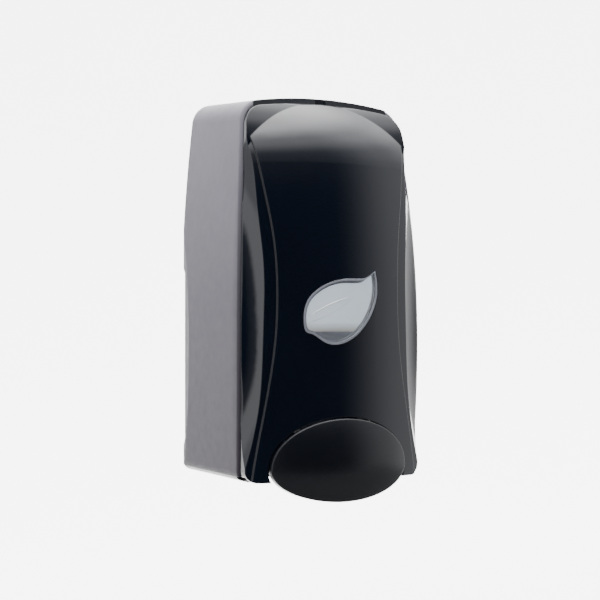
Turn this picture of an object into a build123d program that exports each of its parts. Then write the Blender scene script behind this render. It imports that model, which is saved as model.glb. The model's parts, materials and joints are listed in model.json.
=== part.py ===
from build123d import *
import math
import os

# Wall mounted soap dispenser with a push lever, in millimetres.
# X points right, Y points at the wall (the wall face is y = 0), Z points up.
# The origin is on the wall face, at the centre of the four wall screw holes.

os.makedirs("parts", exist_ok=True)

# ---- driving dimensions ------------------------------------------------------
HALF_WIDTH = 63.5          # widest half width, over the grey side panels
WIDEST_Z = -32.0           # height of the widest point
UPPER_SIDE_R = 1240.0      # side outline above the widest point
LOWER_SIDE_R = 2080.0      # side outline below it
BODY_BOTTOM = -117.0
BODY_TOP_REAR = 127.0      # top of the crown at the wall
TOP_SLOPE = 0.086          # the top falls this much per millimetre of depth
TOP_CROWN_R = 280.0
TOP_CORNER_R = 15.0
BOTTOM_CORNER_R = 7.0

SEAM_DEPTH = 92.0          # wall to seam at the widest point
SEAM_R = 750.0             # the seam curves back towards the wall above and below
SEAM_GAP = 0.4

COVER_INSET = 1.5          # the cover is this much narrower than the side panels
COVER_TOP = 117.0
COVER_BULGE = 14.6         # front face ahead of the seam, at mid width
COVER_CROWN_R = 180.0
COVER_BEND_Z = -8.0        # the front starts to lean back above this height
COVER_BEND_R = 545.0
COVER_ROLL_Z = 78.0        # the top roll starts here
COVER_ROLL_R = 63.0
PANEL_STEP = 1.2           # the centre panel of the cover stands this proud
WALL = 2.5

PANEL_THICK = 2.6          # grey side panels
SHELL = 2.6                # black chassis walls
BACK = 4.0                 # chassis back plate

SCREW_X = 60.0             # wall screw spacing
SCREW_Z = 100.0
SCREW_HOLE_R = 2.6

HINGE_Y = -90.4            # cover hinge axis, low in the seam
HINGE_Z = -114.3
HINGE_PIN_R = 1.3
HINGE_BOSS_R = 2.6

LEVER_Z = -109.0           # height where the push lever is widest
LEVER_HALF_X = 46.5
LEVER_ABOVE = 29.9         # lever outline above and below that height
LEVER_BELOW = 21.0
LEVER_GAP = 0.9
LEVER_DROP = 2.2           # room under the lever's sides for its swing
LEVER_FRONT = 21.0         # front of the lever ahead of the seam depth
LEVER_WALL = 2.4
PIVOT_Y = -95.0            # lever pivot axis
PIVOT_Z = -82.0
PIVOT_R = 1.5

PUMP_Z = -106.0            # plunger axis
PUMP_BORE_R = 7.0
PUMP_FRONT = -70.0
PUMP_REAR = -26.0
CHAMBER_REAR = -36.0       # rear end of the pump bore

BOTTLE_BOTTOM = -27.0
BOTTLE_TOP = 84.0
BOTTLE_HALF_X = 47.0
BOTTLE_FRONT = -86.0
BOTTLE_REAR = -12.0

FIT = 0.03                 # radial running clearance
PRESS = 0.1                # clearance of pieces that sit in each other


# ---- helpers -----------------------------------------------------------------
def save(shape, name):
    shape.label = name
    export_step(shape, f"parts/{name}.step")
    return shape


def box(x0, x1, y0, y1, z0, z1):
    centre = Pos((x0 + x1) / 2, (y0 + y1) / 2, (z0 + z1) / 2)
    return centre * Box(x1 - x0, y1 - y0, z1 - z0)


def rod_x(x0, x1, y, z, radius):
    return Pos((x0 + x1) / 2, y, z) * Rot(0, 90, 0) * Cylinder(radius, x1 - x0)


def rod_y(x, y0, y1, z, radius):
    return Pos(x, (y0 + y1) / 2, z) * Rot(90, 0, 0) * Cylinder(radius, y1 - y0)


def rod_z(x, y, z0, z1, radius):
    return Pos(x, y, (z0 + z1) / 2) * Cylinder(radius, z1 - z0)


def ring_y(x, y0, y1, z, outer, inner):
    return rod_y(x, y0, y1, z, outer) - rod_y(x, y0 - 1, y1 + 1, z, inner)


def ring_z(x, y, z0, z1, outer, inner):
    return rod_z(x, y, z0, z1, outer) - rod_z(x, y, z0 - 1, z1 + 1, inner)


def plate_xz(face_edges, y_front, y_back):
    """Prism along Y of an outline drawn in X and Z."""
    face = make_face(face_edges)
    return Pos(0, y_back, 0) * extrude(Plane.XZ * face, amount=y_back - y_front)


def side_x(z, half):
    radius = UPPER_SIDE_R if z > WIDEST_Z else LOWER_SIDE_R
    return half - (z - WIDEST_Z) ** 2 / (2 * radius)


def seam_y(z):
    return -SEAM_DEPTH + (z - WIDEST_Z) ** 2 / (2 * SEAM_R)


def side_outline(half, bottom, top):
    """Closed outline with gently bowed sides and flat ends."""
    low = side_x(bottom, half)
    high = side_x(top, half)
    middle = (WIDEST_Z + top) / 2
    under = (WIDEST_Z + bottom) / 2
    return [
        Line((-low, bottom), (low, bottom)),
        ThreePointArc((low, bottom), (side_x(under, half), under), (half, WIDEST_Z)),
        ThreePointArc((half, WIDEST_Z), (side_x(middle, half), middle), (high, top)),
        Line((high, top), (-high, top)),
        ThreePointArc((-high, top), (-side_x(middle, half), middle), (-half, WIDEST_Z)),
        ThreePointArc((-half, WIDEST_Z), (-side_x(under, half), under), (-low, bottom)),
    ]


def crown_edges(half, low, peak, radius):
    drop = radius - math.sqrt(radius ** 2 - half ** 2)
    return [
        Line((-half, low), (half, low)),
        Line((half, low), (half, peak - drop)),
        ThreePointArc((half, peak - drop), (0, peak), (-half, peak - drop)),
        Line((-half, peak - drop), (-half, low)),
    ]


def lengthwise_corners(solid, z_low, z_high):
    """Edges of a block that run front to back between two heights."""
    found = []
    for edge in solid.edges():
        size = edge.bounding_box().size
        centre = edge.center()
        if size.Y > 40 and z_low < centre.Z < z_high and abs(centre.X) > 40:
            found.append(edge)
    return found


# ---- housing -----------------------------------------------------------------
def seam_cutter(offset):
    """Everything behind the curved seam, moved forward by offset."""
    top, bottom = 170.0, -170.0
    profile = [
        ThreePointArc((seam_y(top) - offset, top), (-SEAM_DEPTH - offset, WIDEST_Z),
                      (seam_y(2 * WIDEST_Z - top) - offset, 2 * WIDEST_Z - top)),
        Line((seam_y(2 * WIDEST_Z - top) - offset, 2 * WIDEST_Z - top), (60, 2 * WIDEST_Z - top)),
        Line((60, 2 * WIDEST_Z - top), (60, top)),
        Line((60, top), (seam_y(top) - offset, top)),
    ]
    return extrude(Plane.YZ * make_face(profile), amount=100, both=True)


def body_block(inset):
    """Solid block of the housing behind the seam, every outer face moved in by inset."""
    tall = 150.0
    block = plate_xz(side_outline(HALF_WIDTH - inset, BODY_BOTTOM + inset, tall), -110, 0)
    crown = Plane.XZ * make_face(crown_edges(90, -200, BODY_TOP_REAR - inset, TOP_CROWN_R - inset))
    block = block & extrude(crown, amount=120, dir=(0, -1, -TOP_SLOPE))
    block = block & seam_cutter(-SEAM_GAP)
    top_edges = lengthwise_corners(block, 90, 140)
    block = fillet(top_edges, max(TOP_CORNER_R - inset, 2))
    low_edges = lengthwise_corners(block, -130, -100)
    return fillet(low_edges, max(BOTTOM_CORNER_R - inset, 1.5))


PANEL_EDGE_X = 47.0        # the side panels wrap over the top corners to here
PANEL_BOTTOM = -113.5
NOTCH_TOP = 12.0           # shallow relief in the rear edge of the housing
NOTCH_BOTTOM = -96.0
NOTCH_DEPTH = 3.6
NOTCH_HALF_X = 58.6        # it spares everything between the side walls
REAR_BEVEL = 14.0          # depth of the bevelled strip at the rear of a side panel
PANEL_REAR_DROP = 2.2      # how far that bevel draws in
PANEL_SCREWS = [(-30.0, -60.0), (-30.0, 60.0), (-62.0, -60.0), (-62.0, 60.0)]
PANEL_SCREW_R = 1.45
PANEL_SCREW_BITE = 1.4     # how far the panel screws reach into the panels


def rear_notch():
    """Shallow relief across the rear edges, with sloped ends."""
    profile = [
        Line((1, NOTCH_BOTTOM - 6), (-NOTCH_DEPTH, NOTCH_BOTTOM)),
        Line((-NOTCH_DEPTH, NOTCH_BOTTOM), (-NOTCH_DEPTH, NOTCH_TOP)),
        Line((-NOTCH_DEPTH, NOTCH_TOP), (1, NOTCH_TOP + 4)),
        Line((1, NOTCH_TOP + 4), (1, NOTCH_BOTTOM - 6)),
    ]
    solid = extrude(Plane.YZ * make_face(profile), amount=100, both=True)
    return solid - box(-NOTCH_HALF_X, NOTCH_HALF_X, -20, 20, -200, 200)


def bevel_wedge():
    """Tool that bevels the rear strip of the right side panel."""
    thin = HALF_WIDTH - PANEL_REAR_DROP
    wide = HALF_WIDTH + 3
    outline = Polyline((thin, 0.5), (wide, 0.5), (wide, -REAR_BEVEL), (HALF_WIDTH, -REAR_BEVEL), close=True)
    return extrude(make_face(outline), amount=150, both=True)


def front_outer_edges(panel):
    """Long edges where the right side panel's outer face meets its front face."""
    found = []
    for edge in panel.edges():
        centre = edge.center()
        if edge.bounding_box().size.Z > 40 and centre.Y < -75:
            if centre.X > side_x(centre.Z, HALF_WIDTH) - 1.0:
                found.append(edge)
    return found


def side_panel(full, inner):
    """Grey moulded panel of the right side: wraps the top corner, stops above the bottom."""
    zone = box(PANEL_EDGE_X, 80, -100, 1, PANEL_BOTTOM, 150)
    panel = (full - inner) & zone
    panel = panel - bevel_wedge() - rear_notch()
    panel = fillet(front_outer_edges(panel), PANEL_THICK - 0.4)
    for y, z in PANEL_SCREWS:
        depth = side_x(z, HALF_WIDTH) - PANEL_THICK + PANEL_SCREW_BITE
        panel = panel - rod_x(0, depth, y, z, PANEL_SCREW_R + 0.05)
    return panel


def build_housing():
    full = body_block(0)
    under_panel = body_block(PANEL_THICK)
    right = side_panel(full, under_panel)
    left = mirror(right, about=Plane.YZ)
    # the chassis fills the outline where no panel covers it
    skin = body_block(PANEL_THICK + 0.05)
    strip = full & box(-PANEL_EDGE_X + 0.1, PANEL_EDGE_X - 0.1, -100, 1, 60, 150)
    floor = full & box(-70, 70, -100, 1, -130, PANEL_BOTTOM - 0.1)
    outer = skin + strip + floor
    cavity = body_block(PANEL_THICK + SHELL) & box(-70, 70, -110, -BACK, -130, 150)
    chassis = outer - cavity
    chassis = chassis - rear_notch()
    chassis = chassis - box(-70, 70, -110, -83.0, -130, HINGE_Z + 0.6)
    return chassis, left, right


# ---- front cover -------------------------------------------------------------
def swept_front(apex, half, depth, bottom):
    """Block whose front is crowned across and leans, then rolls back, towards the top."""
    y_front = -SEAM_DEPTH - apex
    radius = COVER_CROWN_R
    drop = radius - math.sqrt(radius ** 2 - half ** 2)
    edges = [
        ThreePointArc((-half, y_front + drop), (0, y_front), (half, y_front + drop)),
        Line((half, y_front + drop), (half, y_front + depth)),
        Line((half, y_front + depth), (-half, y_front + depth)),
        Line((-half, y_front + depth), (-half, y_front + drop)),
    ]
    section = make_face(edges)
    low = Pos(0, 0, bottom) * extrude(section, amount=COVER_BEND_Z - bottom)
    inset = COVER_BULGE - apex
    bend_radius = COVER_BEND_R - inset
    bend_axis = Axis((0, y_front + bend_radius, COVER_BEND_Z), (-1, 0, 0))
    bend_angle = math.degrees(math.asin((COVER_ROLL_Z - COVER_BEND_Z) / COVER_BEND_R))
    start = Pos(0, 0, COVER_BEND_Z) * section
    bend = revolve(start, bend_axis, bend_angle)
    turned = start.rotate(bend_axis, bend_angle)
    lean = math.radians(bend_angle)
    roll_radius = COVER_ROLL_R - inset
    apex_y = y_front + bend_radius * (1 - math.cos(lean))
    apex_z = COVER_BEND_Z + bend_radius * math.sin(lean)
    roll_centre = (0, apex_y + roll_radius * math.cos(lean), apex_z - roll_radius * math.sin(lean))
    roll = revolve(turned, Axis(roll_centre, (-1, 0, 0)), 62)
    return low + bend + roll


# Flank scoops: a long round tool passes along each side of the front. At each
# height it touches the seam edge and this half width, where the crease lies.
CREASE = {-80: 53.0, -52: 49.0, -15: 47.8, 22: 48.6, 57: 51.6, 85: 54.4}
SCOOP_R = 30.0
SCOOP_RUNOUT = 42.0
# half width of the proud centre panel, by height
PANEL_LINE = [(58.0, -125), (53.0, -92), (47.6, -63), (42.8, -28), (41.9, 0),
              (43.6, 32), (47.3, 57), (51.3, 82), (56.5, 110), (60.0, 130)]
# the brow is a lying cylinder that carries the roll out to the top corners
BROW_R = 60.0
BROW_Y = -27.3
BROW_Z = 83.5


def front_y(x, z):
    """Front surface of the cover at a point, ahead of any flank scoop."""
    y = -SEAM_DEPTH - COVER_BULGE + COVER_CROWN_R - math.sqrt(COVER_CROWN_R ** 2 - x ** 2)
    if z > COVER_BEND_Z:
        rise = min(z, COVER_ROLL_Z) - COVER_BEND_Z
        y += COVER_BEND_R - math.sqrt(COVER_BEND_R ** 2 - rise ** 2)
    if z > COVER_ROLL_Z:
        lean = math.asin((COVER_ROLL_Z - COVER_BEND_Z) / COVER_BEND_R)
        turned = math.asin(math.sin(lean) + (z - COVER_ROLL_Z) / COVER_ROLL_R)
        y += COVER_ROLL_R * (math.cos(lean) - math.cos(turned))
    return y


def scoop_centre(z):
    edge = Vector(side_x(z, HALF_WIDTH - COVER_INSET), seam_y(z) - 0.2)
    crease = Vector(CREASE[z], front_y(CREASE[z], z))
    chord = crease - edge
    outward = Vector(chord.Y, -chord.X).normalized()
    if outward.Y > 0:
        outward = outward * -1
    reach = math.sqrt(SCOOP_R ** 2 - chord.length ** 2 / 4)
    centre = (edge + crease) * 0.5 + outward * reach
    return Vector(centre.X, centre.Y, z)


def scoops(inset):
    """Both flank tools, made larger by inset so that the wall keeps its thickness."""
    points = [scoop_centre(z) for z in CREASE]
    middle = Spline(*points)
    start = (middle @ 0) - (middle % 0) * SCOOP_RUNOUT
    end = (middle @ 1) + (middle % 1) * SCOOP_RUNOUT
    path = Spline(start, *points, end)
    section = Plane(origin=path @ 0, z_dir=path % 0) * Circle(SCOOP_R + inset)
    right = sweep(section, path=path)
    return right, mirror(right, about=Plane.YZ)


def panel_prism():
    """Hourglass outline of the proud centre panel, as a prism along Y."""
    right = Spline(*PANEL_LINE)
    left = Spline(*[(-x, z) for x, z in PANEL_LINE])
    edges = [right, left, Line(left @ 0, right @ 0), Line(left @ 1, right @ 1)]
    return plate_xz(edges, -140, -50)


def cover_block(inset):
    """Cover as a solid, every outer face moved in by inset."""
    half = HALF_WIDTH - COVER_INSET - inset
    outline = plate_xz(side_outline(half, BODY_BOTTOM + inset, 150), -140, -60)
    crown = plate_xz(crown_edges(90, -200, COVER_TOP - inset, TOP_CROWN_R - inset), -140, -60)
    outline = outline & crown
    outline = fillet(lengthwise_corners(outline, 80, 140), TOP_CORNER_R - 1 - inset)
    outline = fillet(lengthwise_corners(outline, -130, -100), BOTTOM_CORNER_R - inset)
    depth = 48.0
    flank = swept_front(COVER_BULGE - PANEL_STEP - inset, 75, depth, BODY_BOTTOM - 10)
    if inset == 0:
        raised = swept_front(COVER_BULGE, 75, depth, BODY_BOTTOM - 10) & panel_prism()
        flank = flank + raised
    brow = rod_x(-75, 75, BROW_Y, BROW_Z, BROW_R - inset)
    block = outline & (flank + brow)
    for tool in scoops(inset):
        block = block - tool
    return block


# ---- window ------------------------------------------------------------------
# points round the leaf: x, z and the direction, in degrees, that faces outwards there
LEAF_UPPER = [(-24.7, -17.5, 180), (-16.7, -1.5, 135), (1.0, 5.0, 97), (12.3, 5.3, 92), (22.7, 10.6, 45)]
LEAF_LOWER = [(22.7, 10.6, 45), (23.4, -3.5, -10), (15.1, -21.1, -38), (0.5, -31.6, -70),
              (-11.3, -31.5, -108), (-19.9, -26.4, -135), (-24.7, -17.5, 180)]


def leaf_points(points, grow):
    grown = []
    for x, z, facing in points:
        angle = math.radians(facing)
        grown.append((x + grow * math.cos(angle), z + grow * math.sin(angle)))
    return grown


def leaf_face(grow):
    """Leaf shaped window outline with its tip at the upper right."""
    upper = Spline(*leaf_points(LEAF_UPPER, grow), tangents=[(0.0, 1.0), (1.0, 0.75)])
    lower = Spline(*leaf_points(LEAF_LOWER, grow), tangents=[(0.2, -1.0), (0.0, 1.0)])
    return make_face([upper, lower])


def leaf_prism(grow):
    return Pos(0, -50, 0) * extrude(Plane.XZ * leaf_face(grow), amount=90)


BEZEL_WIDTH = 1.3
BEZEL_PROUD = 0.5
LENS_THICK = 1.8


def front_skin(proud, thick):
    """Curved sheet that follows the cover's front, proud of it by a given height."""
    outer = swept_front(COVER_BULGE + proud, 75, 40, -60)
    inner = swept_front(COVER_BULGE + proud - thick, 75, 48, -61)
    return outer - inner


def build_bezel():
    ring = leaf_prism(BEZEL_WIDTH) - leaf_prism(0)
    bezel = ring & front_skin(BEZEL_PROUD, WALL + BEZEL_PROUD + 1.0)
    lip = (leaf_prism(BEZEL_WIDTH) - leaf_prism(-1.2)) & front_skin(-LENS_THICK - 0.4, 1.0)
    return bezel + lip


def build_lens():
    """Clear window with one fine raised vein across it."""
    glass = leaf_prism(-PRESS) & front_skin(-0.3, LENS_THICK)
    above = ThreePointArc((-22.6, -20.4), (-8.6, -15.0), (7.2, -5.0))
    below = ThreePointArc((7.2, -5.0), (-8.0, -15.9), (-22.6, -20.4))
    vein = Pos(0, -50, 0) * extrude(Plane.XZ * make_face([above, below]), amount=90)
    return glass + (vein & front_skin(0.1, 1.0))


# ---- push lever --------------------------------------------------------------
def lever_prism(grow, drop=0.0):
    """Outline of the lever, two half ellipses, as a prism along Y."""
    centre = (0, LEVER_Z - drop)
    half = LEVER_HALF_X + grow
    upper = EllipticalCenterArc(centre, half, LEVER_ABOVE + grow, 0, arc_size=180)
    lower = EllipticalCenterArc(centre, half, LEVER_BELOW + grow, 180, arc_size=180)
    return plate_xz([upper, lower], -140, -50)


LEVER_CROWN_R = 112.0
LEVER_ROLL_R = 80.0
LEVER_DOME_Z = -103.4      # height of the foremost point of its dome


def lever_dome(inset):
    """Front of the lever: crowned across and rolled from top to bottom."""
    half = 60.0
    radius = LEVER_CROWN_R - inset
    y_front = -SEAM_DEPTH - LEVER_FRONT + inset
    drop = radius - math.sqrt(radius ** 2 - half ** 2)
    edges = [
        ThreePointArc((-half, y_front + drop), (0, y_front), (half, y_front + drop)),
        Line((half, y_front + drop), (half, y_front + 42)),
        Line((half, y_front + 42), (-half, y_front + 42)),
        Line((-half, y_front + 42), (-half, y_front + drop)),
    ]
    section = Pos(0, 0, LEVER_DOME_Z) * make_face(edges)
    axis = Axis((0, y_front + LEVER_ROLL_R - inset, LEVER_DOME_Z), (1, 0, 0))
    sweep_angle = 80.0
    start = section.rotate(axis, -sweep_angle / 2)
    return revolve(start, axis, sweep_angle)


LEVER_BACK = -98.5         # rear edge of the lever's rim
EAR_X0 = 30.5              # lever ears, between these half widths
EAR_X1 = 33.5
BRACKET_X0 = 35.0          # pivot brackets inside the cover
BRACKET_X1 = 38.0
NOSE_Y = -80.0             # rear tip of the push boss
NOSE_R = 4.0


def build_lever():
    outer = lever_dome(0) & lever_prism(0)
    outer = outer & box(-60, 60, -130, LEVER_BACK, -140, -60)
    inner = lever_dome(LEVER_WALL) & lever_prism(-LEVER_WALL)
    inner = inner & box(-60, 60, -130, LEVER_BACK + 5, -140, -60)
    lever = outer - inner
    rib = box(-1.2, 1.2, -112, LEVER_BACK - 1, LEVER_Z - LEVER_BELOW, LEVER_Z + LEVER_ABOVE)
    cross = box(-40, 40, -110, LEVER_BACK - 1, PUMP_Z - 1.2, PUMP_Z + 1.2)
    lever = lever + ((rib + cross) & lever_dome(0.5) & lever_prism(-0.5))
    post = rod_y(0, -111, NOSE_Y - NOSE_R, PUMP_Z, NOSE_R)
    lever = lever + post + Pos(0, NOSE_Y - NOSE_R, PUMP_Z) * Sphere(NOSE_R)
    for sign in (-1, 1):
        x0, x1 = sorted((sign * EAR_X0, sign * EAR_X1))
        ear = rod_x(x0, x1, PIVOT_Y, PIVOT_Z, 3.4)
        ear = ear + box(x0, x1, -98.4, PIVOT_Y + 1.5, -96, PIVOT_Z)
        ear = ear + (box(x0, x1, -112, -98, -100, -87) & lever_dome(0.5) & lever_prism(-0.5))
        lever = lever + ear
        lever = lever - rod_x(x0 - 1, x1 + 1, PIVOT_Y, PIVOT_Z, PIVOT_R + FIT)
    return lever


# ---- finished cover ----------------------------------------------------------
BOSS_X0 = 51.9             # cover hinge knuckles, between the chassis ears
BOSS_X1 = 54.5
CATCH_Z = 95.0             # lower edge of the lip that the lock bar catches


def build_cover():
    outer = cover_block(0) - seam_cutter(0)
    cover = outer - cover_block(WALL)
    cover = cover - leaf_prism(BEZEL_WIDTH + PRESS)
    arch = lever_prism(LEVER_GAP) + lever_prism(LEVER_GAP, drop=LEVER_DROP)
    cover = cover - arch
    solid = cover_block(0.4)
    # clear the floor behind the hinge line
    for sign in (-1, 1):
        x0, x1 = sorted((sign * 47.0, sign * 59.6))
        cover = cover - box(x0, x1, HINGE_Y - 3.4, -60, -125, HINGE_Z + 0.6)
        k0, k1 = sorted((sign * 47.0, sign * 57.2))
        cover = cover - rod_x(k0, k1, HINGE_Y, HINGE_Z, HINGE_BOSS_R + 0.6)
        b0, b1 = sorted((sign * BOSS_X0, sign * BOSS_X1))
        knuckle = rod_x(b0, b1, HINGE_Y, HINGE_Z, HINGE_BOSS_R)
        arm = box(b0, b1, -104, HINGE_Y, HINGE_Z - 1.2, HINGE_Z + 1.6) & solid
        cover = cover + knuckle + arm
        cover = cover - rod_x(b0 - 1, b1 + 1, HINGE_Y, HINGE_Z, HINGE_PIN_R + FIT)
        p0, p1 = sorted((sign * BRACKET_X0, sign * BRACKET_X1))
        bracket = rod_x(p0, p1, PIVOT_Y, PIVOT_Z, 3.0)
        web = box(p0, p1, -110, PIVOT_Y, PIVOT_Z, PIVOT_Z + 10) & solid
        cover = cover + bracket + (web - lever_prism(LEVER_GAP))
        cover = cover - rod_x(p0 - 1, p1 + 1, PIVOT_Y, PIVOT_Z, PIVOT_R + PRESS)
    lip = box(-12, 12, -84, -82, CATCH_Z, COVER_TOP) & solid
    return cover + lip


# ---- chassis with its details ------------------------------------------------
LOCK_X = 6.0               # half width of the lock bar
LOCK_Y0 = -78.0
LOCK_Y1 = -75.0
KEY_SLOT_X = 4.0           # half width of the key slot over it
SCREW_PLACES = [(sx * SCREW_X / 2, sz * SCREW_Z / 2) for sx in (-1, 1) for sz in (-1, 1)]
BRACKET_SCREW_X = 22.0
BRACKET_SCREW_Z = -84.0


def finish_chassis(chassis):
    for x, z in SCREW_PLACES:
        chassis = chassis + rod_y(x, -BACK - 2.0, -0.5, z, 7.0)
        chassis = chassis - rod_y(x, -BACK - 5.0, 1.0, z, SCREW_HOLE_R)
    for y, z in PANEL_SCREWS:
        chassis = chassis - rod_x(-70, 70, y, z, PANEL_SCREW_R + PRESS)
    # open the floor for the hand side: the pump nozzle and the swinging lever
    chassis = chassis - box(-49.5, 49.5, -100, -66.0, -125, HINGE_Z + 6)
    chassis = chassis - box(-20, 20, -67, -24.0, -125, HINGE_Z + 6)
    for sign in (-1, 1):
        for e0, e1 in ((49.8, 51.6), (54.8, 56.3)):
            x0, x1 = sorted((sign * e0, sign * e1))
            ear = rod_x(x0, x1, HINGE_Y, HINGE_Z, HINGE_BOSS_R)
            ear = ear + box(x0, x1, HINGE_Y, -78.0, HINGE_Z - HINGE_BOSS_R, HINGE_Z + HINGE_BOSS_R)
            chassis = chassis + ear
        pin0, pin1 = sorted((sign * 49.0, sign * 58.0))
        chassis = chassis - rod_x(pin0, pin1, HINGE_Y, HINGE_Z, HINGE_PIN_R + PRESS)
    # guide for the lock bar under the top wall
    top = body_block(PANEL_THICK + 0.5)
    guide = box(-10, 10, -81.0, -72.0, 96, 125)
    guide = guide - box(-LOCK_X - 0.3, LOCK_X + 0.3, LOCK_Y0 - 0.3, LOCK_Y1 + 0.3, 90, 130)
    guide = guide - box(-LOCK_X + 1.5, LOCK_X - 1.5, -90, LOCK_Y0, 90, 130)
    chassis = chassis + (guide & top)
    chassis = chassis - box(-KEY_SLOT_X, KEY_SLOT_X, -77.5, -75.5, 100, 140)
    # posts that carry the pump bracket
    for sign in (-1, 1):
        x = sign * BRACKET_SCREW_X
        chassis = chassis + rod_y(x, -12.0, -BACK + 1, BRACKET_SCREW_Z, 4.0)
        chassis = chassis - rod_y(x, -13.0, -5.0, BRACKET_SCREW_Z, 1.3)
    return chassis


def build_lock_bar():
    bar = box(-LOCK_X, LOCK_X, LOCK_Y0, LOCK_Y1, 90, 106)
    arm = box(-LOCK_X + 2, LOCK_X - 2, -88, LOCK_Y0 + 1, 88, 90.5)
    bar = bar + box(-LOCK_X + 2, LOCK_X - 2, LOCK_Y0, LOCK_Y1, 88, 92)
    hook = box(-LOCK_X + 2, LOCK_X - 2, -88, -85.8, 88, 93)
    return bar + arm + hook


def build_pins():
    hinge = Compound([rod_x(s * 53.1 - 3.2, s * 53.1 + 3.2, HINGE_Y, HINGE_Z, HINGE_PIN_R)
                      for s in (-1, 1)])
    lever = rod_x(-39.5, 39.5, PIVOT_Y, PIVOT_Z, PIVOT_R)
    return hinge, lever


def panel_screw(y, z):
    """Screw from inside the right chassis wall into its side panel."""
    wall = side_x(z, HALF_WIDTH) - PANEL_THICK - SHELL
    head_face = wall - 0.2
    shank = rod_x(head_face, wall + SHELL + PANEL_SCREW_BITE - 0.2, y, z, PANEL_SCREW_R)
    head = rod_x(head_face - 1.8, head_face, y, z, 2.8)
    slot = box(head_face - 3, head_face - 1.0, y - 0.4, y + 0.4, z - 3, z + 3)
    return shank + head - slot


def pan_screw_y(x, y_tip, y_head, z):
    shank = rod_y(x, y_head, y_tip, z, 1.2)
    head = rod_y(x, y_head - 1.8, y_head, z, 2.6)
    return shank + head - box(x - 3, x + 3, y_head - 3, y_head - 1.0, z - 0.4, z + 0.4)


# ---- reservoir ---------------------------------------------------------------
NECK_Y = -40.0
NECK_R = 11.0
NECK_BOTTOM = -80.0
BOTTLE_FLOOR = -62.0
BOTTLE_SKIN = 1.2
LID_R = 17.0


def bottle_solid(inset):
    """Tank with a floor that slopes down to the neck."""
    front = BOTTLE_FRONT + inset
    rear = BOTTLE_REAR - inset
    top = BOTTLE_TOP - inset
    corners = [(front, top), (front, BOTTLE_BOTTOM + inset), (-58.0, BOTTLE_FLOOR + inset),
               (-20.0, BOTTLE_FLOOR + inset), (rear, BOTTLE_FLOOR + 12), (rear, top)]
    outline = FilletPolyline(*corners, radius=5.0, close=True)
    face = Plane.YZ * make_face(outline)
    half = BOTTLE_HALF_X - inset
    solid = extrude(face, amount=half, both=True)
    rims = [e for e in solid.edges() if abs(abs(e.center().X) - half) < 0.01]
    return fillet(rims, 4.5)


def build_bottle():
    outer = bottle_solid(0) + rod_z(0, NECK_Y, NECK_BOTTOM, BOTTLE_FLOOR + 3, NECK_R)
    outer = outer + rod_z(0, NECK_Y, BOTTLE_TOP - 3, BOTTLE_TOP + 4, LID_R - 2)
    inner = bottle_solid(BOTTLE_SKIN) + rod_z(0, NECK_Y, NECK_BOTTOM - 5, BOTTLE_FLOOR + 8, NECK_R - 1.8)
    inner = inner + rod_z(0, NECK_Y, BOTTLE_TOP - 6, BOTTLE_TOP + 6, LID_R - 3.6)
    return outer - inner


def build_lid():
    z0 = BOTTLE_TOP + 0.6
    cap = rod_z(0, NECK_Y, z0, z0 + 6.2, LID_R)
    cap = cap - rod_z(0, NECK_Y, z0 - 1, BOTTLE_TOP + 4.8, LID_R - 2 + PRESS)
    cap = fillet(cap.edges().filter_by(GeomType.CIRCLE).group_by(Axis.Z)[-1], 1.0)
    tab = box(-5, 5, NECK_Y - LID_R - 5, NECK_Y - LID_R + 2, z0 + 1.4, z0 + 3.6)
    return cap + tab


def build_lid_seal():
    return ring_z(0, NECK_Y, BOTTLE_TOP + 4.0, BOTTLE_TOP + 4.8, LID_R - 2.2, LID_R - 3.4)


# ---- pump --------------------------------------------------------------------
INLET_R = 3.0
SOCKET_TOP = -76.0
PUMP_SCREW_X = 20.0


def build_collar():
    z0, z1 = -84.0, -68.0
    nut = ring_z(0, NECK_Y, z0, z1, 16.0, NECK_R + PRESS)
    nut = nut - rod_z(0, NECK_Y, z0 - 1, SOCKET_TOP + PRESS, 13.2 + PRESS)
    for index in range(18):
        turn = math.radians(index * 20.0)
        x = 16.2 * math.cos(turn)
        y = NECK_Y + 16.2 * math.sin(turn)
        nut = nut - rod_z(x, y, z0 - 1, z1 + 1, 0.8)
    return nut


def build_neck_seal():
    return ring_z(0, NECK_Y, NECK_BOTTOM - 1.4, NECK_BOTTOM, NECK_R, 6.0)


def build_pump_body():
    body = box(-15, 15, PUMP_FRONT, PUMP_REAR, -115.6, -94.0)
    body = fillet(body.edges().filter_by(Axis.Y), 3.0)
    socket = rod_z(0, NECK_Y, -95, NECK_BOTTOM - 1.4, 13.2)
    cup = ring_z(0, NECK_Y, NECK_BOTTOM - 2, SOCKET_TOP, 13.2, NECK_R + PRESS)
    body = body + socket + cup
    body = body - rod_y(0, PUMP_FRONT - 1, CHAMBER_REAR, PUMP_Z, PUMP_BORE_R)
    body = body - rod_z(0, NECK_Y, PUMP_Z, NECK_BOTTOM, INLET_R)
    body = body - rod_z(0, NECK_Y, -90, NECK_BOTTOM, 6.1)
    body = body - rod_z(0, NECK_Y, -120, PUMP_Z, 4.1)
    for sign in (-1, 1):
        body = body + box(sign * 19 - 5, sign * 19 + 5, -52, -28, -98, -94.0)
        body = body - rod_z(sign * PUMP_SCREW_X, NECK_Y, -99, -93, 1.4)
    return body


def build_bracket():
    shelf = box(-30, 30, -56, -12, -94.0, -92.0)
    flange = box(-30, 30, -14, -12, -94.0, -78.0)
    plate = shelf + flange
    plate = plate - rod_z(0, NECK_Y, -96, -90, 13.4)
    for sign in (-1, 1):
        plate = plate - rod_y(sign * BRACKET_SCREW_X, -15, -11, BRACKET_SCREW_Z, 1.4)
        plate = plate - rod_z(sign * PUMP_SCREW_X, NECK_Y, -96, -90, 1.4)
    return plate


HEAD_FRONT = NOSE_Y + 0.3  # front face of the plunger, just behind the push boss
HEAD_THICK = 2.5
PISTON_FRONT = -62.0
PISTON_LENGTH = 10.0


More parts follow.
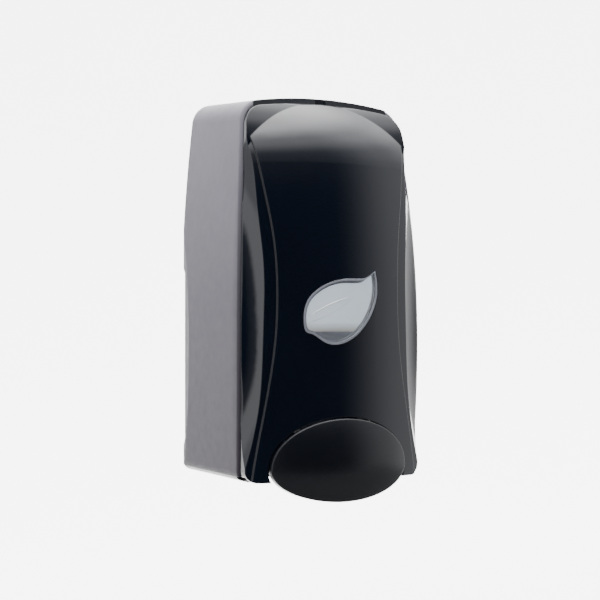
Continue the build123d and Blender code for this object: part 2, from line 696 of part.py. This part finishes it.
def build_bracket_screws():
    screws = [pan_screw_y(s * BRACKET_SCREW_X, -7.0, -14.0, BRACKET_SCREW_Z) for s in (-1, 1)]
    return Compound(screws)


def build_pump_screws():
    """Screws that hold the pump's lugs up against the bracket."""
    screws = []
    for sign in (-1, 1):
        shank = rod_z(sign * PUMP_SCREW_X, NECK_Y, -98.0, -91.0, 1.2)
        head = rod_z(sign * PUMP_SCREW_X, NECK_Y, -99.8, -98.0, 2.6)
        screws.append(shank + head)
    return Compound(screws)


def build_plunger():
    head = rod_y(0, HEAD_FRONT, HEAD_FRONT + HEAD_THICK, PUMP_Z, 9.4)
    stem = rod_y(0, HEAD_FRONT + 2, PISTON_FRONT, PUMP_Z, 4.0)
    piston = rod_y(0, PISTON_FRONT, PISTON_FRONT + PISTON_LENGTH, PUMP_Z, PUMP_BORE_R - 0.07)
    groove = ring_y(0, PISTON_FRONT + 3.8, PISTON_FRONT + 6.2, PUMP_Z, 9.0, 5.2)
    return head + stem + piston - groove


def build_plunger_seal():
    return Pos(0, PISTON_FRONT + 5.0, PUMP_Z) * Rot(90, 0, 0) * Torus(6.05, 0.84)


SPRING_R = 8.2
SPRING_WIRE = 0.45
SPRING_TURNS = 5


def build_spring():
    """Return spring around the plunger stem, between its head and the pump body."""
    y0 = HEAD_FRONT + HEAD_THICK + SPRING_WIRE
    length = PUMP_FRONT - SPRING_WIRE - y0
    helix = Helix(pitch=length / SPRING_TURNS, height=length, radius=SPRING_R)
    section = Plane(origin=helix @ 0, z_dir=helix % 0) * Circle(SPRING_WIRE)
    coil = sweep(section, path=helix, is_frenet=True)
    return Pos(0, y0, PUMP_Z) * Rot(-90, 0, 0) * coil


def build_valves():
    inlet = rod_z(0, NECK_Y, -90, -88.4, 6.0) - rod_z(0, NECK_Y, -91, -88, 1.6)
    inlet = inlet + ring_z(0, NECK_Y, -92.0, -89.8, 2.9, 1.7)
    flap = rod_z(0, NECK_Y, -110.4, -108.6, 4.0)
    duck = Pos(0, NECK_Y, -112.2) * Cone(2.2, 4.0, 3.6)
    outlet = flap + duck - box(-0.1, 0.1, NECK_Y - 2.2, NECK_Y + 2.2, -114.4, -108.0)
    return inlet, outlet


def build_nozzle():
    flange = rod_z(0, NECK_Y, -119.0, -115.7, 7.0)
    tip = Pos(0, NECK_Y, -121.4) * Cone(4.2, 5.8, 4.8)
    return flange + tip - rod_z(0, NECK_Y, -130, -110, 2.6)


def build_nozzle_screen():
    disc = rod_z(0, NECK_Y, -118.4, -117.8, 2.58)
    for index in range(6):
        turn = math.radians(index * 60.0)
        disc = disc - rod_z(1.4 * math.cos(turn), NECK_Y + 1.4 * math.sin(turn), -120, -116, 0.4)
    return disc - rod_z(0, NECK_Y, -120, -116, 0.4)


# ---- write every node --------------------------------------------------------
def main():
    chassis, left_panel, right_panel = build_housing()
    save(finish_chassis(chassis), "chassis")
    save(left_panel, "side_panel_left")
    save(right_panel, "side_panel_right")
    right_screws = [panel_screw(y, z) for y, z in PANEL_SCREWS]
    left_screws = [mirror(screw, about=Plane.YZ) for screw in right_screws]
    save(Compound(right_screws + left_screws), "panel_screws")
    save(build_cover(), "front_cover")
    save(build_bezel(), "window_bezel")
    save(build_lens(), "window_lens")
    save(build_lever(), "push_lever")
    hinge_pins, lever_pin = build_pins()
    save(hinge_pins, "hinge_pins")
    save(lever_pin, "lever_pin")
    save(build_lock_bar(), "lock_bar")
    save(build_bottle(), "reservoir_bottle")
    save(build_lid(), "reservoir_lid")
    save(build_lid_seal(), "lid_seal")
    save(build_collar(), "bottle_collar")
    save(build_neck_seal(), "neck_seal")
    save(build_pump_body(), "pump_body")
    save(build_bracket(), "pump_bracket")
    save(build_bracket_screws(), "bracket_screws")
    save(build_pump_screws(), "pump_screws")
    save(build_plunger(), "pump_plunger")
    save(build_plunger_seal(), "plunger_seal")
    save(build_spring(), "return_spring")
    inlet, outlet = build_valves()
    save(inlet, "inlet_valve")
    save(outlet, "outlet_valve")
    save(build_nozzle(), "nozzle")
    save(build_nozzle_screen(), "nozzle_screen")


main()
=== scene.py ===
"""Looks of the wall mounted soap dispenser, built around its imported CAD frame."""

import json
import math

import bpy
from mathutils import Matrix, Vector


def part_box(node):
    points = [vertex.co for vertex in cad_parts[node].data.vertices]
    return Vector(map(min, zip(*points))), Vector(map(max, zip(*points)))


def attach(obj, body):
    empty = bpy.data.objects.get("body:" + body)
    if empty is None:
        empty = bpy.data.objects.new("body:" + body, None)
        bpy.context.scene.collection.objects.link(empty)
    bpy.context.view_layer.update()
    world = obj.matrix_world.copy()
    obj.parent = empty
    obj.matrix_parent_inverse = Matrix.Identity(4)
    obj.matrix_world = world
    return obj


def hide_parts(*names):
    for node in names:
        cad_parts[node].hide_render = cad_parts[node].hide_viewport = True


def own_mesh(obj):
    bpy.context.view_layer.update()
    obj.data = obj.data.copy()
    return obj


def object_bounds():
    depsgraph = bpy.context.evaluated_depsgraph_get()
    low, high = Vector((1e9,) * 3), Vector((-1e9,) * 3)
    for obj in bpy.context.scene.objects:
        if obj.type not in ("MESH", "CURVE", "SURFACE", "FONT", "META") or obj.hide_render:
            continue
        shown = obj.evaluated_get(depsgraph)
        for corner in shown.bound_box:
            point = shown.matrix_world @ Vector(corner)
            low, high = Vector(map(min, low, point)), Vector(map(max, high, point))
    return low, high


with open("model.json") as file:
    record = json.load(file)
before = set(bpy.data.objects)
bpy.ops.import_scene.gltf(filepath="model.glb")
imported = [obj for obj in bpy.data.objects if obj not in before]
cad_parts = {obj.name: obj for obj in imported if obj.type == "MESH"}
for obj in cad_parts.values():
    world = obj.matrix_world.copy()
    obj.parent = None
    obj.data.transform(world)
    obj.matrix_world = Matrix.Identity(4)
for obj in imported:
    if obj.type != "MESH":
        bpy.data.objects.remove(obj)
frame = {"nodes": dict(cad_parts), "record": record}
cad_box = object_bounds()

LOW, HIGH = (Vector(corner) for corner in cad_box)
WHITE = (0.96, 0.96, 0.965)


GRAIN_DEPTH = 0.00004       # height of the moulded grain, metres
BEVEL_SAMPLES = 6


# ---- node helpers ------------------------------------------------------------
class Look:
    """A new material with a principled shader and short ways to add nodes."""

    def __init__(self, name, roughness, colour=(0.5, 0.5, 0.5)):
        self.material = bpy.data.materials.new(name)
        self.material.use_nodes = True
        self.tree = self.material.node_tree
        self.shader = self.tree.nodes["Principled BSDF"]
        self.set("Roughness", roughness)
        self.set("Base Color", (*colour, 1.0))
        self.coordinates = self.tree.nodes.new("ShaderNodeTexCoord").outputs["Object"]

    def set(self, socket, value):
        self.shader.inputs[socket].default_value = value

    def link(self, output, node_input):
        self.tree.links.new(output, node_input)

    def noise(self, scale, detail=4.0, rough=0.55, stretch=None):
        node = self.tree.nodes.new("ShaderNodeTexNoise")
        node.inputs["Scale"].default_value = scale
        node.inputs["Detail"].default_value = detail
        node.inputs["Roughness"].default_value = rough
        source = self.coordinates
        if stretch:
            mapping = self.tree.nodes.new("ShaderNodeMapping")
            mapping.inputs["Scale"].default_value = stretch
            self.link(source, mapping.inputs["Vector"])
            source = mapping.outputs["Vector"]
        self.link(source, node.inputs["Vector"])
        return node.outputs["Fac"]

    def ramp(self, factor, *stops):
        node = self.tree.nodes.new("ShaderNodeValToRGB")
        elements = node.color_ramp.elements
        while len(elements) < len(stops):
            elements.new(0.5)
        for element, (place, value) in zip(elements, stops):
            element.position = place
            colour = value if isinstance(value, tuple) else (value, value, value)
            element.color = (*colour, 1.0)
        self.link(factor, node.inputs["Fac"])
        return node.outputs["Color"]

    def along(self, axis, low, high, *stops):
        """Colour that changes along one axis, between two places in metres."""
        split = self.tree.nodes.new("ShaderNodeSeparateXYZ")
        self.link(self.coordinates, split.inputs["Vector"])
        span = self.tree.nodes.new("ShaderNodeMapRange")
        span.inputs["From Min"].default_value = low
        span.inputs["From Max"].default_value = high
        self.link(split.outputs[axis], span.inputs["Value"])
        return self.ramp(span.outputs["Result"], *stops)

    def times(self, first, second):
        node = self.tree.nodes.new("ShaderNodeMix")
        node.data_type = "RGBA"
        node.blend_type = "MULTIPLY"
        node.inputs["Factor"].default_value = 1.0
        self.link(first, node.inputs["A"])
        self.link(second, node.inputs["B"])
        return node.outputs["Result"]

    def bump(self, height, strength, distance, under=None):
        node = self.tree.nodes.new("ShaderNodeBump")
        node.inputs["Strength"].default_value = strength
        node.inputs["Distance"].default_value = distance
        self.link(height, node.inputs["Height"])
        if under is not None:
            self.link(under, node.inputs["Normal"])
        return node.outputs["Normal"]

    def soft_edges(self, radius):
        node = self.tree.nodes.new("ShaderNodeBevel")
        node.samples = BEVEL_SAMPLES
        node.inputs["Radius"].default_value = radius
        return node.outputs["Normal"]

    def finish_normal(self, normal):
        self.link(normal, self.shader.inputs["Normal"])
        return self.material


def moulded(name, colour, variation, roughness, spread, grain, edge=0.0006, coat=0.0, specular=0.5):
    """Moulded plastic: slow colour drift, uneven gloss, fine spark grain, softened edges."""
    look = Look(name, roughness, colour)
    look.set("Specular IOR Level", specular)
    look.set("Coat Weight", coat)
    look.set("Coat Roughness", 0.04)
    light = tuple(min(1.0, c * (1 + variation)) for c in colour)
    dark = tuple(c * (1 - variation) for c in colour)
    drift = look.noise(18.0, detail=3.0)
    look.link(look.ramp(drift, (0.3, dark), (0.7, light)), look.shader.inputs["Base Color"])
    wear = look.noise(140.0, detail=6.0, rough=0.6)
    gloss = look.ramp(wear, (0.35, roughness - spread), (0.75, roughness + spread))
    look.link(gloss, look.shader.inputs["Roughness"])
    fine = look.noise(2600.0, detail=2.0)
    normal = look.bump(fine, grain, GRAIN_DEPTH, look.soft_edges(edge))
    return look.finish_normal(normal)


# ---- materials ---------------------------------------------------------------
def gloss_black():
    """Polished blue black moulding of the front cover, with faint swirl marks."""
    look = Look("gloss_black", 0.12)
    look.set("Specular IOR Level", 0.6)
    look.set("Coat Weight", 0.2)
    look.set("Coat Roughness", 0.05)
    drift = look.noise(9.0, detail=2.0)
    shade = look.ramp(drift, (0.3, (0.0022, 0.0040, 0.0090)), (0.7, (0.0032, 0.0055, 0.0120)))
    look.link(shade, look.shader.inputs["Base Color"])
    swirl = look.noise(70.0, detail=8.0, rough=0.7, stretch=(1.0, 1.0, 0.25))
    look.link(look.ramp(swirl, (0.4, 0.10), (0.75, 0.15)), look.shader.inputs["Roughness"])
    orange_peel = look.noise(240.0, detail=1.5)
    normal = look.bump(orange_peel, 0.04, GRAIN_DEPTH, look.soft_edges(0.0009))
    return look.finish_normal(normal)


def grey_panel():
    """Satin mauve grey side panel, a little darker towards its foot as painted shade, with painted shade
    along its front edge too.
    """
    look = Look("grey_panel", 0.45)
    look.set("Specular IOR Level", 0.12)
    # painted shade: the colour runs from light at the top to dark at the foot, as the light falls off
    # downwards
    height = look.along("Z", LOW.z, HIGH.z, (0.05, (0.058, 0.052, 0.064)), (0.5, (0.100, 0.094, 0.114)),
                        (0.98, (0.175, 0.168, 0.196)))
    cloud = look.ramp(look.noise(30.0, detail=3.0), (0.3, 0.94), (0.7, 1.0))
    # painted shade: the colour darkens towards the front edge, where the rounding turns away from the light
    painted_edge_shade = look.along("Y", LOW.y, HIGH.y, (0.19, 0.5), (0.28, 1.0))
    look.link(look.times(look.times(height, cloud), painted_edge_shade), look.shader.inputs["Base Color"])
    wear = look.noise(160.0, detail=6.0)
    look.link(look.ramp(wear, (0.35, 0.4), (0.75, 0.5)), look.shader.inputs["Roughness"])
    fine = look.noise(3000.0, detail=2.0)
    normal = look.bump(fine, 0.25, GRAIN_DEPTH, look.soft_edges(0.0009))
    return look.finish_normal(normal)


def clear_window():
    """Clear polycarbonate with a faint cool tint and a trace of haze."""
    look = Look("clear_window", 0.04, (0.93, 0.96, 0.985))
    look.set("Transmission Weight", 0.92)
    look.set("IOR", 1.49)
    haze = look.noise(120.0, detail=5.0)
    look.link(look.ramp(haze, (0.35, 0.03), (0.75, 0.09)), look.shader.inputs["Roughness"])
    ripple = look.noise(260.0, detail=1.0)
    return look.finish_normal(look.bump(ripple, 0.05, 0.00005, look.soft_edges(0.0004)))


def milky_bottle():
    """Translucent blow moulded bottle, cool white with soft flow clouds.

    It glows a little, a painted glow standing in for light that reaches it from all sides through its own
    wall. Behind the foot of the window it darkens as painted shade, first to a brownish line and then to
    black.
    """
    look = Look("milky_bottle", 0.35, (0.78, 0.83, 0.88))
    look.set("Subsurface Weight", 0.4)
    # painted glow: the bottle emits light of its own
    look.set("Emission Strength", 0.75)
    look.set("Subsurface Scale", 0.004)
    look.set("Subsurface Radius", (0.8, 1.0, 1.2))
    flow = look.noise(40.0, detail=4.0, stretch=(1.0, 1.0, 0.35))
    tone = look.ramp(flow, (0.3, (0.72, 0.79, 0.85)), (0.7, (0.84, 0.88, 0.92)))
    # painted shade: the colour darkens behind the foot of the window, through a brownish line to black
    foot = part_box("window_lens")[0][2]
    painted_foot_shade = look.along("Z", foot, foot + 0.020, (0.30, (0.05, 0.05, 0.07)), (0.36, (0.48, 0.41, 0.34)),
                       (0.50, (0.75, 0.72, 0.68)), (0.62, (1.0, 1.0, 1.0)))
    tone = look.times(tone, painted_foot_shade)
    look.link(tone, look.shader.inputs["Base Color"])
    # the emission colour carries the painted glow, with the painted shade at the foot
    look.link(tone, look.shader.inputs["Emission Color"])
    wear = look.noise(180.0, detail=5.0)
    look.link(look.ramp(wear, (0.3, 0.28), (0.7, 0.42)), look.shader.inputs["Roughness"])
    fine = look.noise(900.0, detail=2.0)
    return look.finish_normal(look.bump(fine, 0.12, 0.00008, look.soft_edges(0.0008)))


def metal(name, colour, roughness, lines):
    """Plated or drawn metal with fine directional marks."""
    look = Look(name, roughness, colour)
    look.set("Metallic", 1.0)
    marks = look.noise(400.0, detail=6.0, rough=0.7, stretch=lines)
    dark = tuple(c * 0.8 for c in colour)
    look.link(look.ramp(marks, (0.35, dark), (0.7, colour)), look.shader.inputs["Base Color"])
    look.link(look.ramp(marks, (0.3, roughness - 0.07), (0.7, roughness + 0.1)),
              look.shader.inputs["Roughness"])
    return look.finish_normal(look.bump(marks, 0.2, 0.00003, look.soft_edges(0.0003)))


def build_materials():
    """One material for each slot in the record."""
    return {
        "black_cover": gloss_black(),
        "grey_panel": grey_panel(),
        "black_housing": moulded("satin_black", (0.007, 0.009, 0.013), 0.12, 0.32, 0.05, 0.3),
        "black_lever": moulded("lever_black", (0.0035, 0.0045, 0.0075), 0.15, 0.24, 0.012, 0.05, edge=0.0014),
        "window_trim": moulded("window_trim", (0.22, 0.23, 0.27), 0.1, 0.2, 0.05, 0.1, edge=0.0005),
        "clear_window": clear_window(),
        "bottle_plastic": milky_bottle(),
        "cap_plastic": moulded("cap_white", (0.72, 0.73, 0.74), 0.05, 0.4, 0.06, 0.25),
        "pump_plastic": moulded("pump_grey", (0.42, 0.44, 0.47), 0.07, 0.38, 0.06, 0.3),
        "plunger_plastic": moulded("plunger_blue", (0.05, 0.13, 0.32), 0.1, 0.33, 0.06, 0.25),
        "lock_plastic": moulded("lock_red", (0.36, 0.03, 0.025), 0.1, 0.4, 0.06, 0.3),
        "seal_rubber": moulded("seal_rubber", (0.02, 0.02, 0.021), 0.2, 0.7, 0.08, 0.5, specular=0.3),
        "zinc_steel": metal("zinc_steel", (0.62, 0.62, 0.6), 0.28, (1.0, 1.0, 0.1)),
        "spring_steel": metal("spring_steel", (0.56, 0.56, 0.57), 0.22, (0.1, 1.0, 1.0)),
        "bracket_steel": metal("bracket_steel", (0.6, 0.61, 0.62), 0.3, (0.06, 1.0, 1.0)),
    }


VEIN_POINTS = ((0.05, 0.36), (0.20, 0.47), (0.40, 0.57), (0.62, 0.65))    # shares of the window's box
VEIN_RADIUS = 0.00045
VEIN_TIP = 0.35             # share of that radius at both ends
RAY_START = 0.05            # how far in front of the window the rays start


def add_vein(material):
    """Fine white vein on the window's front face, thinner at both ends; the white is a painted highlight
    along the embossed vein.
    """
    low, high = (Vector(corner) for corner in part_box("window_lens"))
    lens = frame["nodes"]["window_lens"]
    data = bpy.data.curves.new("window_vein", "CURVE")
    data.dimensions = "3D"
    data.bevel_depth = VEIN_RADIUS
    data.bevel_resolution = 3
    data.resolution_u = 16
    spline = data.splines.new("BEZIER")
    spline.bezier_points.add(len(VEIN_POINTS) - 1)
    for point, (across, up) in zip(spline.bezier_points, VEIN_POINTS):
        x = low.x + across * (high.x - low.x)
        z = low.z + up * (high.z - low.z)
        hit, place, _, _ = lens.ray_cast((x, low.y - RAY_START, z), (0.0, 1.0, 0.0))
        point.co = place if hit else (x, low.y, z)
        point.handle_left_type = "AUTO"
        point.handle_right_type = "AUTO"
    for end in (spline.bezier_points[0], spline.bezier_points[-1]):
        end.radius = VEIN_TIP
    vein = bpy.data.objects.new("window_vein", data)
    bpy.context.collection.objects.link(vein)
    vein.data.materials.append(material)
    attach(vein, "cover")


def dress_nodes(materials):
    """Give every CAD node the material of its slot in the record."""
    slots = {row["node"]: row["material_slot"] for row in frame["record"]["subparts"]}
    for node, piece in frame["nodes"].items():
        piece.data.materials.clear()
        piece.data.materials.append(materials[slots[node]])


def add_spring(material):
    """Stands in for the CAD spring with a copy of its mesh, hung on the housing, while the CAD spring is
    hidden.
    """
    coil = bpy.data.objects.new("spring_coil", frame["nodes"]["return_spring"].data.copy())
    bpy.context.collection.objects.link(coil)
    coil.data.materials.clear()
    coil.data.materials.append(material)
    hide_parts("return_spring")
    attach(coil, "housing")
    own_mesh(coil)


# ---- stage, light and camera -------------------------------------------------
SEAM_DEPTH = 0.092          # from the wall to the seam between housing and cover
CAMERA_TURN = math.radians(28.0)
CAMERA_DISTANCE = 0.900     # from the middle of that seam
CAMERA_HEIGHT = -0.020      # eye level, from the middle of the wall screws
LENS = 86.94                # focal length and sensor width, mm
SENSOR = 36.0
SHIFT_X = -0.0529           # lens shift, which puts the dispenser right of the middle
SHIFT_Y = 0.0367            # and eye level just below it
NEAR_CLIP = 0.05


def add_camera():
    """Level camera to the left of the dispenser, with a shifted lens."""
    data = bpy.data.cameras.new("camera")
    camera = bpy.data.objects.new("camera", data)
    bpy.context.collection.objects.link(camera)
    back = Vector((-math.sin(CAMERA_TURN), -math.cos(CAMERA_TURN), 0.0))
    target = Vector((0.0, -SEAM_DEPTH, CAMERA_HEIGHT))
    camera.location = target + back * CAMERA_DISTANCE
    camera.rotation_euler = (math.radians(90.0), 0.0, -CAMERA_TURN)
    data.sensor_width = SENSOR
    data.lens = LENS
    data.shift_x = SHIFT_X
    data.shift_y = SHIFT_Y
    data.clip_start = NEAR_CLIP
    bpy.context.scene.camera = camera


FLOOR_DROP = 0.9            # the floor lies this far under the dispenser
FLOOR_FRONT = -3.0
FLOOR_HALF_WIDTH = 4.0
BACKDROP_Y = 1.6            # where the floor starts to curve up behind it
BACKDROP_BEND = 0.8
BACKDROP_TOP = 2.6
BEND_STEPS = 16
PAPER_GLOW = 5.0


def stage_material():
    """White seamless paper, bright enough behind the dispenser to read as a plain background.

    The glow fades towards the front and the left, so that it stays out of the glossy cover. The paper's
    colour also darkens towards the front as painted shade.
    """
    look = Look("stage_white", 0.85, WHITE)
    drift = look.noise(1.5, detail=2.0)
    paper = look.ramp(drift, (0.3, (0.95, 0.95, 0.955)), (0.7, (0.97, 0.97, 0.972)))
    # painted shade: the paper's colour darkens towards the front, where the room is dark
    fade = look.along("Y", -1.6, BACKDROP_Y + BACKDROP_BEND, (0.2, 0.08), (0.6, 0.3), (0.98, 1.0))
    tone = look.times(paper, fade)
    look.link(tone, look.shader.inputs["Base Color"])
    dim_left = look.along("X", -1.5, 0.5, (0.3, 0.12), (0.95, 1.0))
    look.link(look.times(look.times(tone, fade), dim_left), look.shader.inputs["Emission Color"])
    look.set("Emission Strength", PAPER_GLOW)
    return look.material


def add_floor():
    """Pale floor below the dispenser, curving up into a backdrop behind it."""
    floor_z = LOW.z - FLOOR_DROP
    profile = [(FLOOR_FRONT, floor_z)]
    for step in range(BEND_STEPS + 1):
        angle = math.pi / 2 * step / BEND_STEPS
        y = BACKDROP_Y + BACKDROP_BEND * math.sin(angle)
        profile.append((y, floor_z + BACKDROP_BEND * (1 - math.cos(angle))))
    profile.append((BACKDROP_Y + BACKDROP_BEND, BACKDROP_TOP))
    vertices = [(x, y, z) for x in (-FLOOR_HALF_WIDTH, FLOOR_HALF_WIDTH) for y, z in profile]
    count = len(profile)
    faces = [(i, i + 1, count + i + 1, count + i) for i in range(count - 1)]
    mesh = bpy.data.meshes.new("floor")
    mesh.from_pydata(vertices, [], faces)
    mesh.materials.append(stage_material())
    for polygon in mesh.polygons:
        polygon.use_smooth = True
    floor = bpy.data.objects.new("floor", mesh)
    bpy.context.collection.objects.link(floor)


class Sky:
    """World shader whose brightness depends on the direction: a studio painted on a dome."""

    def __init__(self):
        self.world = bpy.data.worlds.new("studio")
        self.world.use_nodes = True
        self.tree = self.world.node_tree
        split = self.tree.nodes.new("ShaderNodeSeparateXYZ")
        place = self.tree.nodes.new("ShaderNodeTexCoord")
        self.tree.links.new(place.outputs["Generated"], split.inputs["Vector"])
        self.x, self.y, self.z = split.outputs

    def maths(self, operation, first, second=None):
        """One maths node; each value is a number or another node's output."""
        node = self.tree.nodes.new("ShaderNodeMath")
        node.operation = operation
        for place, value in enumerate((first, second)):
            if isinstance(value, float):
                node.inputs[place].default_value = value
            elif value is not None:
                self.tree.links.new(value, node.inputs[place])
        return node.outputs["Value"]

    def curve(self, value, low, high, points):
        """Brightness against an angle in degrees, through the given points."""
        span = self.tree.nodes.new("ShaderNodeMapRange")
        span.inputs["From Min"].default_value = math.radians(low)
        span.inputs["From Max"].default_value = math.radians(high)
        self.tree.links.new(value, span.inputs["Value"])
        top = max(level for _, level in points)
        node = self.tree.nodes.new("ShaderNodeValToRGB")
        node.color_ramp.interpolation = "EASE"
        elements = node.color_ramp.elements
        while len(elements) < len(points):
            elements.new(0.5)
        for element, (angle, level) in zip(elements, points):
            element.position = (angle - low) / (high - low)
            shade = level / top
            element.color = (shade, shade, shade, 1.0)
        self.tree.links.new(span.outputs["Result"], node.inputs["Fac"])
        return self.maths("MULTIPLY", node.outputs["Color"], float(top))


# brightness round the horizon: degrees from straight out of the wall, positive to the right, and level
HORIZON = [(-180, 1.0), (-130, 1.0), (-80, 1.2), (-66, 1.9), (-46, 1.9), (-34, 0.25), (-12, 0.02), (26, 0.03),
           (60, 1.1), (90, 1.9), (130, 1.3), (180, 1.0)]
# brightness of the overhead light: degrees above the horizon, and level
OVERHEAD = [(-90, 0.0), (18, 0.0), (32, 0.35), (48, 2.2), (70, 8.0), (90, 9.0)]


def add_lights():
    """Soft light from both sides and from above, with the dark of the room in front."""
    sky = Sky()
    forward = sky.maths("MULTIPLY", sky.y, -1.0)
    azimuth = sky.maths("ARCTAN2", sky.x, forward)
    height = sky.maths("ARCSINE", sky.z)
    around = sky.curve(azimuth, -180, 180, HORIZON)
    above = sky.curve(height, -90, 90, OVERHEAD)
    level = sky.maths("ADD", around, above)
    background = sky.tree.nodes["Background"]
    background.inputs["Color"].default_value = (*WHITE, 1.0)
    sky.tree.links.new(level, background.inputs["Strength"])
    bpy.context.scene.world = sky.world


# ---- build -------------------------------------------------------------------
add_camera()
materials = build_materials()
dress_nodes(materials)
add_spring(materials["spring_steel"])
# the vein's white colour is a painted highlight along the window's embossed vein
add_vein(moulded("vein_painted_highlight", (0.85, 0.87, 0.90), 0.03, 0.35, 0.04, 0.1, edge=0.0002))
add_floor()
add_lights()
